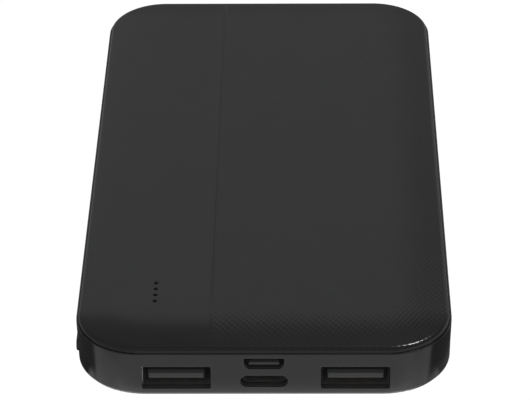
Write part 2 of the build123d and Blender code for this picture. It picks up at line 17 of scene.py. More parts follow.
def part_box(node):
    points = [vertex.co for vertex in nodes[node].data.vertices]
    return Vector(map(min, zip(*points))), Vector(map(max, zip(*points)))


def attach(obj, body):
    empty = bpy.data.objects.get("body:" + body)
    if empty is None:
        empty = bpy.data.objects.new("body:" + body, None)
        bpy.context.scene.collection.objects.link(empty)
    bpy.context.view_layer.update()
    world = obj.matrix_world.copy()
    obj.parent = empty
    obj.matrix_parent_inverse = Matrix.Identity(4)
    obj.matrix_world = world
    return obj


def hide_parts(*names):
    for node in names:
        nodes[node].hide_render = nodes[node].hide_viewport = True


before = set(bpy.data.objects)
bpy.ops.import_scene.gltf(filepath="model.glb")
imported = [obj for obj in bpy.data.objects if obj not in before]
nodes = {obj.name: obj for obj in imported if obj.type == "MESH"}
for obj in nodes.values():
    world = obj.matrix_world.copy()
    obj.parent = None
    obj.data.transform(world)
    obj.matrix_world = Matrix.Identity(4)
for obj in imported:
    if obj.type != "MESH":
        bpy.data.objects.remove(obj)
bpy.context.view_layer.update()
scene = bpy.context.scene
MM = 0.001


def box_mm(name):
    """Low and high corner of a piece, in millimetres."""
    low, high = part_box(name)
    return np.array(low) / MM, np.array(high) / MM


def add_object(name, data):
    new_object = bpy.data.objects.new(name, data)
    scene.collection.objects.link(new_object)
    return new_object


# ---------------------------------------------------------------- dimensions
frame_low, frame_high = box_mm("mid_frame")
cover_low, cover_high = box_mm("top_cover")
leds_low, leds_high = box_mm("status_leds")

WIDTH = frame_high[0] - frame_low[0]
LENGTH = frame_high[1] - frame_low[1]
CORNER_R = 12.1
CORNER_X = WIDTH / 2 - CORNER_R             # centres of the rounded corners
CORNER_Y = LENGTH / 2 - CORNER_R
FLOOR_Z = frame_low[2]                      # underside of the mid-frame
RIM_Z = frame_high[2]                       # top rim of the mid-frame
CROWN_Z = cover_high[2]
LIP_Z = cover_low[2]                        # foot of the lip inside the mid-frame

# Cover section. Insets are measured inwards from the mid-frame's outline.
COVER_INSET = (WIDTH - (cover_high[0] - cover_low[0])) / 2
SEAM = 0.1                                  # open height between rim and cover
EDGE_Z = RIM_Z + 0.15                       # where the edge fillet starts
EDGE_CHAMFER = 0.03
FILLET_R = 1.0
SHOULDER_RUN, SHOULDER_DROP = 10.0, 0.9
SHOULDER_R = (SHOULDER_RUN * SHOULDER_RUN + SHOULDER_DROP * SHOULDER_DROP) / (2 * SHOULDER_DROP)
FILLET_SWEEP = math.pi / 2 - math.asin(SHOULDER_RUN / SHOULDER_R)
SHOULDER_INSET = COVER_INSET + FILLET_R * (1 - math.cos(FILLET_SWEEP))
FLAT_INSET = SHOULDER_INSET + SHOULDER_RUN
WALL = 1.3
SEAM_INSET, LIP_OUTER_INSET, LIP_INNER_INSET = 1.05, 1.5, 2.6
END_Y = LENGTH / 2 - SHOULDER_INSET         # y of the shoulder's start at the back

GROOVE_X, GROOVE_WIDTH, GROOVE_DEPTH = -9.7, 0.40, 0.08
GROOVE_MIN_DEPTH = 0.01
GROOVE_ANGLES = [80, 58, 34, 11, -11, -34, -58, -80]       # section points, right to left
GROOVE_FADE = 0.4
FIELD_X = GROOVE_X + GROOVE_WIDTH / 2 + 0.03               # right lip of the groove
STRIP_X = GROOVE_X - GROOVE_WIDTH / 2 - 0.03               # left lip of the groove

RIB_ANGLE = math.radians(57.7)
RIB_PITCH = 0.775
RIB_HEIGHT = 0.013
RIB_EDGE_FADE, RIB_GROOVE_FADE = 0.55, 0.35
RIB_SAMPLES = 6                             # sampling lines per rib
RIB_COLUMNS = 30
ALONG = np.array([math.cos(RIB_ANGLE), math.sin(RIB_ANGLE)])
ACROSS = np.array([math.sin(RIB_ANGLE), -math.cos(RIB_ANGLE)])
SEARCH_REACH, SEARCH_STEP = 125, 0.25       # coarse search for the ends of a line
MIN_LINE = 0.35

LED_X = (leds_low[0] + leds_high[0]) / 2
LED_R = 0.43
LED_YS = np.linspace(leds_low[1] + 0.4, leds_high[1] - 0.4, 4)
HOLE_SIDES = 28


# ---------------------------------------------------------------- top cover
def outline_at(x, y):
    """Distance in from the mid-frame's outline, and the outward direction there."""
    past_x, past_y = abs(x) - CORNER_X, abs(y) - CORNER_Y
    if past_x > 0 and past_y > 0:
        reach = math.hypot(past_x, past_y)
        out_x, out_y = (past_x / reach, past_y / reach) if reach > 1e-9 else (1, 0)
        return CORNER_R - reach, math.copysign(out_x, x), math.copysign(out_y, y)
    if past_x > past_y:
        return CORNER_R - past_x, math.copysign(1, x), 0.0
    return CORNER_R - past_y, 0.0, math.copysign(1, y)


def crown_height(inset):
    """Height of the outer surface, from the shoulder inwards."""
    if inset >= FLAT_INSET:
        return CROWN_Z
    run = min(FLAT_INSET - inset, SHOULDER_RUN)
    return CROWN_Z - (SHOULDER_R - math.sqrt(SHOULDER_R * SHOULDER_R - run * run))


def clamp(value):
    return min(1.0, max(0.0, value))


def rib_relief(x, y):
    """Rounded wave across one diagonal, fading out at the field's border."""
    inset = outline_at(x, y)[0]
    fade = (clamp((inset - SHOULDER_INSET) / RIB_EDGE_FADE)
            * clamp((x - FIELD_X) / RIB_GROOVE_FADE))
    place = x * ACROSS[0] + y * ACROSS[1]
    wave = 0.5 + 0.5 * math.cos(2 * math.pi * place / RIB_PITCH)
    return RIB_HEIGHT * (wave - 1.0) * fade


def near_light(x, y, reach):
    return any(math.hypot(x - LED_X, y - led_y) < reach for led_y in LED_YS)


verts, faces = [], []


def add_vertex(x, y, z):
    verts.append((x * MM, y * MM, z * MM))
    return len(verts) - 1


def plan_of(vertex):
    """Place of a vertex in plan, in millimetres."""
    return verts[vertex][0] / MM, verts[vertex][1] / MM


def bridge(first, second, closed=False):
    """Quads between two rows of vertices of equal length."""
    count = len(first)
    for i in range(count if closed else count - 1):
        j = (i + 1) % count
        faces.append((first[i], second[i], second[j], first[j]))


def rib_span(across):
    """Start and end of one line within the ribbed field, measured along the ribs."""
    def inside(along):
        x, y = ACROSS * across + ALONG * along
        return x >= FIELD_X - 1e-9 and outline_at(x, y)[0] >= SHOULDER_INSET

    hits = [along for along in np.arange(-SEARCH_REACH, SEARCH_REACH, SEARCH_STEP)
            if inside(along)]
    if not hits:
        return None
    ends = []
    for within, beyond in ((hits[0], hits[0] - SEARCH_STEP), (hits[-1], hits[-1] + SEARCH_STEP)):
        for _ in range(40):
            middle = (within + beyond) / 2
            if inside(middle):
                within = middle
            else:
                beyond = middle
        ends.append(within)
    return ends


def rib_rows():
    """Lines (number, place across, start, end), from the back left to the front right.

    Line 0 passes through the field's front left corner.
    """
    spacing = RIB_PITCH / RIB_SAMPLES
    front_corner = FIELD_X * ACROSS[0] - END_Y * ACROSS[1]
    back_corner = FIELD_X * ACROSS[0] + END_Y * ACROSS[1]
    number = -int((front_corner - back_corner) / spacing)
    rows = []
    while True:
        across = front_corner + number * spacing
        span = rib_span(across)
        if span is not None and span[1] - span[0] >= MIN_LINE:
            rows.append((number, across, *span))
        elif number > 0:
            return rows
        number += 1


def rib_columns():
    """Fractions along a line, closer at both ends, where the ribs fade."""
    eased = 0.5 - 0.5 * np.cos(np.linspace(0, math.pi, RIB_COLUMNS))
    columns = 0.55 * eased + 0.45 * np.linspace(0, 1, RIB_COLUMNS)
    start, end = [0, 0.002, 0.0045, 0.008, 0.014], [0.986, 0.992, 0.9955, 0.998, 1]
    return np.unique(np.round(np.concatenate([start, columns[1:-1], end]), 6))


def build_field():
    """Ribbed field; returns its outline (counter-clockwise) and groove edge (back to front)."""
    rows, columns = rib_rows(), rib_columns()
    grid = []
    for number, across, start, end in rows:
        line = []
        for fraction in columns:
            x, y = ACROSS * across + ALONG * (start + fraction * (end - start))
            if fraction == 0.0 and number <= 0:
                x = FIELD_X
            line.append(add_vertex(x, y, crown_height(outline_at(x, y)[0]) + rib_relief(x, y)))
        grid.append(line)
    for first, second in zip(grid[:-1], grid[1:]):
        bridge(first, second)
    back_corner = add_vertex(FIELD_X, END_Y, crown_height(SHOULDER_INSET))
    for i in range(len(columns) - 1):
        faces.append((back_corner, grid[0][i], grid[0][i + 1]))
    front_corner = next(i for i, row in enumerate(rows) if row[0] == 0)
    starts = [line[0] for line in grid]
    ends = [line[-1] for line in grid]
    outline = starts[front_corner:] + grid[-1][1:-1] + ends[::-1] + [back_corner]
    return outline, [back_corner] + starts[:front_corner + 1]


def spaced(start, end, step):
    """Points from start towards end, without the end itself."""
    count = max(1, int(round(math.hypot(end[0] - start[0], end[1] - start[1]) / step)))
    return [(start[0] + (end[0] - start[0]) * i / count,
             start[1] + (end[1] - start[1]) * i / count) for i in range(count)]


def with_light_holes(outline):
    """Points and edges of an outline and the light holes, and each hole's point numbers."""
    def ring_edges(start, count):
        return [(start + i, start + (i + 1) % count) for i in range(count)]

    points = [Vector(point) for point in outline]
    edges = ring_edges(0, len(points))
    holes = []
    for led_y in LED_YS:
        start = len(points)
        for angle in np.linspace(0, 2 * math.pi, HOLE_SIDES, endpoint=False):
            points.append(Vector((LED_X + LED_R * math.cos(angle),
                                  led_y + LED_R * math.sin(angle))))
        edges += ring_edges(start, HOLE_SIDES)
        holes.append(range(start, start + HOLE_SIDES))
    return points, edges, holes


def fill_outline(points, edges, height, min_inset, max_x=math.inf, known=(), downward=False):
    """Triangulate, leaving the light holes open; returns the vertex of each input point.

    The first points may already have vertices, given as known.
    """
    placed, _, cells, sources, _, _ = delaunay_2d_cdt(points, edges, [], 0, 1e-7)
    vertex_at = {}
    for i, merged in enumerate(sources):
        for source in merged:
            if source < len(known):
                vertex_at[i] = known[source]
    for i, point in enumerate(placed):
        if i not in vertex_at:
            vertex_at[i] = add_vertex(point.x, point.y, height(point.x, point.y))
    for cell in cells:
        x = sum(placed[i].x for i in cell) / len(cell)
        y = sum(placed[i].y for i in cell) / len(cell)
        in_hole = near_light(x, y, LED_R * 0.99)
        if in_hole or outline_at(x, y)[0] < min_inset - 1e-3 or x > max_x:
            continue
        corners = tuple(vertex_at[i] for i in cell)
        faces.append(corners[::-1] if downward else corners)
    return {source: vertex_at[i] for i, merged in enumerate(sources) for source in merged}


def build_strip(groove_ys):
    """Plain strip; returns its outline, its groove edge (back to front) and the hole rims."""
    radius = CORNER_R - SHOULDER_INSET
    left_x = -CORNER_X - radius
    quarter = np.linspace(0, math.pi / 2, 40)[:-1]
    outer = spaced((STRIP_X, END_Y), (-CORNER_X, END_Y), 0.9)
    outer += [(-CORNER_X - radius * math.sin(a), CORNER_Y + radius * math.cos(a))
              for a in quarter]
    outer += spaced((left_x, CORNER_Y), (left_x, -CORNER_Y), 1.4)
    outer += [(-CORNER_X - radius * math.cos(a), -CORNER_Y - radius * math.sin(a))
              for a in quarter]
    outer += spaced((-CORNER_X, -END_Y), (STRIP_X, -END_Y), 0.9)
    outer += [(STRIP_X, -END_Y)]
    groove_side = [(STRIP_X, y) for y in reversed(groove_ys[1:-1])]
    points, edges, holes = with_light_holes(outer + groove_side)
    # loose points that keep the triangles small
    for x in np.arange(-WIDTH / 2 + 1.4, STRIP_X - 0.6, 1.15):
        for y in np.arange(-LENGTH / 2 + 1.4, LENGTH / 2 - 1.2, 1.3):
            on_strip = outline_at(x, y)[0] >= SHOULDER_INSET + 0.5
            if on_strip and not near_light(x, y, LED_R + 0.35):
                points.append(Vector((x, y)))
    vertex_of = fill_outline(points, edges, lambda x, y: crown_height(outline_at(x, y)[0]),
                             min_inset=SHOULDER_INSET, max_x=STRIP_X)
    count = len(outer)
    outline = [vertex_of[i] for i in range(count)]
    side = [vertex_of[count + i] for i in reversed(range(len(groove_side)))]
    rims = [[vertex_of[i] for i in hole] for hole in holes]
    return outline, [outline[0]] + side + [outline[-1]], rims


def build_groove(right_edge, left_edge, groove_ys):
    """Groove between field and strip; returns its inner columns, right to left."""
    columns = []
    for angle in np.radians(GROOVE_ANGLES):
        x = GROOVE_X + GROOVE_WIDTH / 2 * math.sin(angle)
        depth = (GROOVE_MIN_DEPTH
                 + (GROOVE_DEPTH - GROOVE_MIN_DEPTH) * math.cos(angle) ** 0.8)
        column = []
        for y in groove_ys:
            inset = outline_at(x, y)[0]
            taper = clamp((inset - SHOULDER_INSET) / GROOVE_FADE)
            column.append(add_vertex(x, y, crown_height(inset) - depth * taper))
        columns.append(column)
    rows = [right_edge] + columns + [left_edge]
    for first, second in zip(rows[:-1], rows[1:]):
        bridge(first, second)
    return columns


def edge_profile():
    """Section (inset, z) from the shoulder's start, round the edge and lip, to the inner flat."""
    profile = [(COVER_INSET + FILLET_R * (1 - math.cos(a)), EDGE_Z + FILLET_R * math.sin(a))
               for a in np.linspace(FILLET_SWEEP, 0, 12)[1:]]
    seam_z = RIM_Z + SEAM
    profile += [(COVER_INSET, seam_z + EDGE_CHAMFER), (COVER_INSET + EDGE_CHAMFER, seam_z),
                (SEAM_INSET, seam_z), (SEAM_INSET, RIM_Z),
                (LIP_OUTER_INSET, RIM_Z), (LIP_OUTER_INSET, LIP_Z), (LIP_INNER_INSET, LIP_Z)]
    inner_r = SHOULDER_R - WALL
    for run in np.linspace(FLAT_INSET - LIP_INNER_INSET, 0, 6):
        drop = inner_r - math.sqrt(inner_r * inner_r - run * run)
        profile.append((FLAT_INSET - run, CROWN_Z - WALL - drop))
    return profile


def build_edge(outline):
    """Sweep the edge profile round the outline; returns the last ring of vertices."""
    stations = []
    for vertex in outline:
        x, y = plan_of(vertex)
        stations.append((x, y, *outline_at(x, y)))
    last = outline
    for inset, z in edge_profile():
        ring = [add_vertex(x + out_x * (start - inset), y + out_y * (start - inset), z)
                for x, y, start, out_x, out_y in stations]
        bridge(last, ring, closed=True)
        last = ring
    return last


def build_inner_face(border, rims):
    """Flat inner face, and the walls of the light holes that pass through to it."""
    points, edges, holes = with_light_holes([plan_of(vertex) for vertex in border])
    vertex_of = fill_outline(points, edges, lambda x, y: CROWN_Z - WALL,
                             min_inset=FLAT_INSET, known=border, downward=True)
    for rim, hole in zip(rims, holes):
        for i in range(HOLE_SIDES):
            j = (i + 1) % HOLE_SIDES
            faces.append((rim[i], rim[j], vertex_of[hole[j]], vertex_of[hole[i]]))


def build_cover():
    field_outline, right_edge = build_field()
    groove_ys = [plan_of(vertex)[1] for vertex in right_edge]
    strip_outline, left_edge, rims = build_strip(groove_ys)
    columns = build_groove(right_edge, left_edge, groove_ys)
    groove_back = [column[0] for column in columns]
    groove_front = [column[-1] for column in reversed(columns)]
    border = build_edge(field_outline + groove_back + strip_outline + groove_front)
    build_inner_face(border, rims)

    mesh = bpy.data.meshes.new("top_cover_ribbed")
    mesh.from_pydata(verts, [], [face for face in faces if len(set(face)) > 2])
    mesh.validate()
    mesh.update()
    work = bmesh.new()
    work.from_mesh(mesh)
    bmesh.ops.remove_doubles(work, verts=work.verts, dist=2e-7)
    bmesh.ops.dissolve_degenerate(work, dist=1e-8, edges=work.edges)
    bmesh.ops.recalc_face_normals(work, faces=work.faces)
    work.to_mesh(mesh)
    work.free()
    for polygon in mesh.polygons:
        polygon.use_smooth = True
    mesh.set_sharp_from_angle(angle=math.radians(32))
    return add_object("top_cover_ribbed", mesh)


cover = build_cover()
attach(cover, "housing")
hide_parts("top_cover")


# ---------------------------------------------------------------- shader helpers
FALL = (1.0, 0.0)


class Graph:
    """A node tree in which every input takes a value or another node's output."""

    def __init__(self, tree):
        self.tree = tree

    def feed(self, socket, value):
        if isinstance(value, bpy.types.NodeSocket):
            self.tree.links.new(value, socket)
        else:
            socket.default_value = (*value, 1) if socket.type == "RGBA" else value

    def node(self, kind, inputs=None, **settings):
        node = self.tree.nodes.new(kind)
        for key, value in settings.items():
            setattr(node, key, value)
        for key, value in (inputs or {}).items():
            self.feed(node.inputs[key], value)
        return node

    def math(self, operation, first, second=0.0, third=0.0):
        inputs = {0: first, 1: second, 2: third}
        return self.node("ShaderNodeMath", inputs, operation=operation).outputs[0]

    def times(self, first, second):
        return self.math("MULTIPLY", first, second)

    def absolute(self, value):
        return self.math("ABSOLUTE", value)

    def offset(self, value, origin):
        """Distance of a coordinate from an origin."""
        return self.absolute(self.math("SUBTRACT", value, origin))

    def ramp(self, value, band, levels=(0.0, 1.0), shape="LINEAR"):
        """Go from the first level to the second as the value crosses the band."""
        inputs = {"From Min": band[0], "From Max": band[1],
                  "To Min": levels[0], "To Max": levels[1], "Value": value}
        return self.node("ShaderNodeMapRange", inputs, interpolation_type=shape).outputs["Result"]

    def step(self, value, band, levels=(0.0, 1.0)):
        """A ramp with eased ends."""
        return self.ramp(value, band, levels, shape="SMOOTHSTEP")

    def pick(self, factor, at_zero, at_one):
        """Mix of two numbers."""
        inputs = {0: factor, 2: at_zero, 3: at_one}
        return self.node("ShaderNodeMix", inputs, data_type="FLOAT").outputs[0]

    def tint(self, factor, at_zero, at_one):
        """Mix of two colours."""
        inputs = {0: factor, 6: at_zero, 7: at_one}
        return self.node("ShaderNodeMix", inputs, data_type="RGBA").outputs[2]

    def axes(self, vector):
        return tuple(self.node("ShaderNodeSeparateXYZ", {0: vector}).outputs)


materials = {}


class Surface(Graph):
    """A material on the Principled shader, textured in object coordinates."""

    def __init__(self, name):
        material = bpy.data.materials.new(name)
        material.use_nodes = True
        super().__init__(material.node_tree)
        materials[name] = material
        self.shader = self.tree.nodes["Principled BSDF"]
        self.place = self.node("ShaderNodeTexCoord").outputs["Object"]
        self.relief = None

    def noise(self, scale, detail=3.0, roughness=0.55):
        inputs = {"Scale": scale, "Detail": detail, "Roughness": roughness, "Vector": self.place}
        return self.node("ShaderNodeTexNoise", inputs).outputs["Fac"]

    def set(self, **inputs):
        for key, value in inputs.items():
            self.feed(self.shader.inputs[key.replace("_", " ")], value)

    def source(self, name):
        """Output that now drives a shader input."""
        return self.shader.inputs[name].links[0].from_socket

    def bump(self, height, distance):
        self.relief = self.node("ShaderNodeBump", {"Distance": distance, "Height": height})
        self.set(Normal=self.relief.outputs["Normal"])


def grey(value):
    return (value, value, value * 1.01)


def moulded(name, tones, roughness, grain, depth):
    """Moulded plastic: faint tone drift and spark-eroded grain.

    Roughness follows the grain between two values, or is left unset when None.
    """
    surface = Surface(name)
    fine = surface.noise(grain, detail=4.0, roughness=0.6)
    slow = surface.noise(180.0, detail=2.0, roughness=0.5)
    surface.set(Base_Color=surface.tint(surface.ramp(slow, band=(0.35, 0.65)), *tones), IOR=1.5)
    if roughness is not None:
        surface.set(Roughness=surface.ramp(fine, band=(0.3, 0.7), levels=roughness))
    surface.bump(fine, depth)
    return surface


def metal(name, tones, roughness):
    surface = Surface(name)
    mottle = surface.noise(900.0, detail=4.0, roughness=0.6)
    surface.set(Base_Color=surface.tint(surface.ramp(mottle, band=(0.3, 0.7)), *tones),
                Metallic=1.0,
                Roughness=surface.ramp(mottle, band=(0.3, 0.7), levels=roughness))
    surface.bump(mottle, 0.000004)
    return surface


# ---------------------------------------------------------------- materials
def cover_material():
    cover_black = moulded("cover_plastic_black", tones=(grey(0.0042), grey(0.0052)),
                          roughness=None, grain=5200, depth=0.0000015)
    s = cover_black
    x, y, z = s.axes(s.place)
    field = s.ramp(x, band=((FIELD_X - 0.1) * MM, (FIELD_X + 0.3) * MM))
    fillet = s.step(z, band=((EDGE_Z + 0.55 * FILLET_R) * MM, (EDGE_Z + 1.02 * FILLET_R) * MM),
                    levels=FALL)
    field_roughness = s.ramp(field, band=(0.0, 1.0), levels=(0.19, 0.21))
    s.set(Roughness=s.pick(fillet, field_roughness, 0.24))

    # weaker reflection on the upright edge and in the groove, up to the front shoulder
    upright = s.step(z, band=((EDGE_Z + 0.10) * MM, (EDGE_Z + 0.45) * MM), levels=FALL)
    groove = s.times(s.step(s.offset(x, GROOVE_X * MM), band=(0.00012, 0.00052), levels=FALL),
                     s.step(y, band=(-0.0550, -0.0460)))
    s.set(Specular_IOR_Level=s.pick(upright, s.pick(groove, 0.5, 0.39), 0.40))

    # painted light: the walls inside the light holes are painted paler, standing in for light
    # that reaches into the holes
    lights_y = float(LED_YS.mean()) * MM
    near_lights = s.times(
        s.step(s.offset(x, LED_X * MM), band=(0.0006, 0.0007), levels=FALL),
        s.step(s.offset(y, lights_y), band=(0.0038, 0.0039), levels=FALL))
    below_crown = s.step(z, band=((CROWN_Z - 0.06) * MM, (CROWN_Z - 0.03) * MM), levels=FALL)
    walls = s.times(near_lights, below_crown)
    s.set(Base_Color=s.tint(walls, s.source("Base Color"), grey(0.05)))

    # second, fainter family of fine lines crossing the ribs
    angle, pitch = math.radians(51), 0.99
    across = s.node("ShaderNodeVectorMath",
                    {0: s.place, 1: (math.sin(angle), math.cos(angle), 0)},
                    operation="DOT_PRODUCT").outputs["Value"]
    phase = s.node("ShaderNodeMath", {0: across, 1: 2 * math.pi / (pitch * MM)},
                   operation="MULTIPLY").outputs[0]
    wave = s.node("ShaderNodeMath", {0: phase}, operation="SINE").outputs[0]
    lines = s.node("ShaderNodeMath", {0: wave, 1: field}, operation="MULTIPLY").outputs[0]
    crossing = s.node("ShaderNodeBump", {"Distance": 0.000005, "Height": lines})
    s.feed(s.relief.inputs["Normal"], crossing.outputs["Normal"])


def frame_material():
    s = moulded("frame_plastic_satin", tones=(grey(0.0095), grey(0.0115)),
                roughness=(0.16, 0.21), grain=3600, depth=0.0000012)
    bevel = s.node("ShaderNodeBevel", {"Radius": 0.00013}, samples=6)
    s.feed(s.relief.inputs["Normal"], bevel.outputs["Normal"])
    x, y, _ = s.axes(s.place)
    # painted light inside the port openings: a paler base colour stands in for light bounced into
    # the shaded openings; the plastic there is also duller
    behind_front = s.step(y, band=((frame_low[1] + 0.14) * MM, (frame_low[1] + 0.30) * MM))
    ports = s.times(behind_front, s.step(s.absolute(x), band=(0.0234, 0.0237), levels=FALL))
    s.set(Base_Color=s.tint(ports, s.source("Base Color"), grey(0.060)),
          Roughness=s.pick(ports, s.source("Roughness"), 0.6),
          Specular_IOR_Level=s.pick(ports, 0.5, 0.12))


def guide_material():
    s = Surface("light_guide_smoked")
    s.set(Base_Color=(0.005, 0.005, 0.0055), Roughness=0.5, IOR=1.35)
    s.bump(s.noise(2500, detail=2), 0.000003)


def shell_material():
    s = metal("connector_shell_nickel", tones=((0.44, 0.44, 0.445), (0.52, 0.52, 0.525)),
              roughness=(0.42, 0.55))
    x, y, _ = s.axes(s.place)
    # painted shade: the front edges are painted dark, dull and non-metallic, except at the far
    # left edge of the left USB-A shell
    shell_y = box_mm("usb_a_left_shell")[0][1]
    painted_shade_front_edges = s.times(s.step(y, band=((shell_y + 0.02) * MM, (shell_y + 0.05) * MM), levels=FALL),
                  s.step(x, band=(-0.0221, -0.0219)))
    s.set(Base_Color=s.tint(painted_shade_front_edges, s.source("Base Color"), grey(0.02)),
          Metallic=s.pick(painted_shade_front_edges, 0.93, 0.0),
          Specular_IOR_Level=s.pick(painted_shade_front_edges, 0.5, 0.15))


def tongue_material():
    s = moulded("connector_tongue_grey", tones=(grey(0.0265), grey(0.0305)),
                roughness=(0.4, 0.5), grain=4500, depth=0.000004)
    z = s.axes(s.place)[2]
    normal_z = s.axes(s.node("ShaderNodeNewGeometry").outputs["Normal"])[2]
    # painted shade on the lead-in chamfer, and painted light on the level top faces, which lie in
    # the shade of the openings' top edges; the higher tops get paler painted light
    painted_chamfer_shade = s.ramp(z, band=((FLOOR_Z + 3.50) * MM, (FLOOR_Z + 3.92) * MM))
    level = s.step(normal_z, band=(0.85, 0.95))
    raised = s.step(z, band=((FLOOR_Z + 5.5) * MM, (FLOOR_Z + 5.6) * MM))
    pale = s.tint(raised, grey(0.055), grey(0.105))
    sides = s.tint(painted_chamfer_shade, s.source("Base Color"), grey(0.019))
    s.set(Base_Color=s.tint(level, sides, pale))


def tape_material():
    s = Surface("polyimide_tape")
    mottle = s.noise(700)
    s.set(Base_Color=s.tint(s.ramp(mottle, band=(0.3, 0.7)),
                            (0.42, 0.17, 0.015), (0.5, 0.22, 0.02)),
          Roughness=0.18, IOR=1.6)
    s.bump(mottle, 0.00001)


def pouch_material():
    s = Surface("cell_pouch_foil")
    creases = s.noise(160, detail=4, roughness=0.6)
    fine = s.noise(4200, detail=2)
    s.set(Base_Color=s.tint(s.ramp(creases, band=(0.3, 0.7)),
                            (0.42, 0.43, 0.45), (0.5, 0.51, 0.53)),
          Metallic=0.85, Roughness=s.ramp(fine, band=(0.3, 0.7), levels=(0.32, 0.46)))
    s.bump(creases, 0.00006)


def board_material():
    s = Surface("solder_mask_green")
    bricks = s.node("ShaderNodeTexBrick",
                    {"Scale": 420, "Mortar Size": 0.03, "Vector": s.place}).outputs["Fac"]
    s.set(Base_Color=s.tint(s.ramp(bricks, band=(0, 1)),
                            (0.006, 0.05, 0.018), (0.01, 0.085, 0.03)),
          Roughness=s.ramp(s.noise(1200), band=(0.3, 0.7), levels=(0.28, 0.38)), IOR=1.5)
    s.bump(bricks, 0.00003)


# name, the two tones, roughness range, grain scale, grain depth in metres
PLAIN_PLASTICS = [
    ("button_plastic_satin", grey(0.011), grey(0.013), (0.28, 0.36), 3600, 0.0000025),
    ("cover_plastic_under", grey(0.0085), grey(0.0105), (0.38, 0.48), 5200, 0.000006),
    ("connector_tongue_black", grey(0.012), grey(0.014), (0.4, 0.5), 4500, 0.000004),
    ("switch_black", grey(0.02), grey(0.024), (0.4, 0.5), 4000, 0.000004),
    ("switch_plunger_white", grey(0.6), grey(0.66), (0.4, 0.5), 4000, 0.000004),
    ("chip_epoxy", grey(0.015), grey(0.02), (0.45, 0.6), 6000, 0.000005),
    ("ferrite_grey", grey(0.03), grey(0.045), (0.55, 0.7), 3000, 0.00001),
    ("resistor_chip", grey(0.01), grey(0.014), (0.2, 0.3), 5000, 0.000003),
    ("capacitor_ceramic", (0.30, 0.20, 0.12), (0.36, 0.25, 0.15), (0.3, 0.4), 5000, 0.000003),
    ("led_package", (0.75, 0.74, 0.65), (0.8, 0.79, 0.7), (0.3, 0.4), 4000, 0.000003),
    ("foam_pad", grey(0.02), grey(0.035), (0.8, 0.95), 2500, 0.00004),
    ("lead_silicone_red", (0.45, 0.015, 0.012), (0.5, 0.02, 0.016), (0.35, 0.45), 3500, 0.000004),
    ("lead_silicone_black", grey(0.012), grey(0.016), (0.35, 0.45), 3500, 0.000004),
]
PARTS_OF = {
    "cover_plastic_black": ["top_cover"],
    "frame_plastic_satin": ["mid_frame"],
    "cover_plastic_under": ["bottom_cover"],
    "button_plastic_satin": ["power_button"],
    "light_guide_smoked": ["led_light_guide"],
    "led_package": ["status_leds"],
    "solder_mask_green": ["main_pcb", "protection_board"],
    "connector_shell_nickel": ["usb_a_left_shell", "usb_a_right_shell", "usb_c_shell",
                               "micro_usb_shell"],
    "connector_tongue_grey": ["usb_a_left_tongue", "usb_a_right_tongue", "micro_usb_tongue"],
    "connector_tongue_black": ["usb_c_tongue"],
    "contact_gold": ["usb_a_left_contacts", "usb_a_right_contacts", "usb_c_contacts",
                     "micro_usb_contacts"],
    "tin_plate": ["tact_switch_frame", "pcb_screws", "cell_tab_positive", "cell_tab_negative"],
    "switch_black": ["tact_switch_body"],
    "switch_plunger_white": ["tact_switch_plunger"],
    "ferrite_grey": ["boost_inductor"],
    "chip_epoxy": ["controller_ic", "power_mosfets", "protection_chips"],
    "capacitor_ceramic": ["ceramic_capacitors"],
    "resistor_chip": ["chip_resistors"],
    "cell_pouch_foil": ["pouch_cell"],
    "polyimide_tape": ["insulating_tape"],
    "lead_silicone_red": ["battery_lead_positive"],
    "lead_silicone_black": ["battery_lead_negative"],
    "foam_pad": ["adhesive_pads", "foam_strip"],
}

cover_material()
frame_material()
guide_material()
shell_material()
tongue_material()
tape_material()
pouch_material()
board_material()
metal("contact_gold", tones=((0.55, 0.40, 0.15), (0.65, 0.48, 0.2)), roughness=(0.2, 0.3))
metal("tin_plate", tones=((0.55, 0.55, 0.53), (0.62, 0.62, 0.6)), roughness=(0.25, 0.4))
for name, low_tone, high_tone, roughness, grain, depth in PLAIN_PLASTICS:
    moulded(name, (low_tone, high_tone), roughness, grain, depth)

material_of = {part: name for name, parts in PARTS_OF.items() for part in parts}
for part, piece in nodes.items():
    piece.data.materials.clear()
    piece.data.materials.append(materials[material_of[part]])
cover.data.materials.append(materials["cover_plastic_black"])


# ---------------------------------------------------------------- floor
FLOOR_RADIUS, FLOOR_SIDES = 12.0, 96
FLOOR_SEEN, FLOOR_ALBEDO = 1.02, 0.02       # brightness to the camera, diffuse reflectance
FRONT_NEAR, FRONT_FAR = 0.93, 0.72          # mirrored brightness ahead of the ports
SIDE_NEAR, SIDE_FAR = 0.025, 0.55           # mirrored brightness beside the long sides


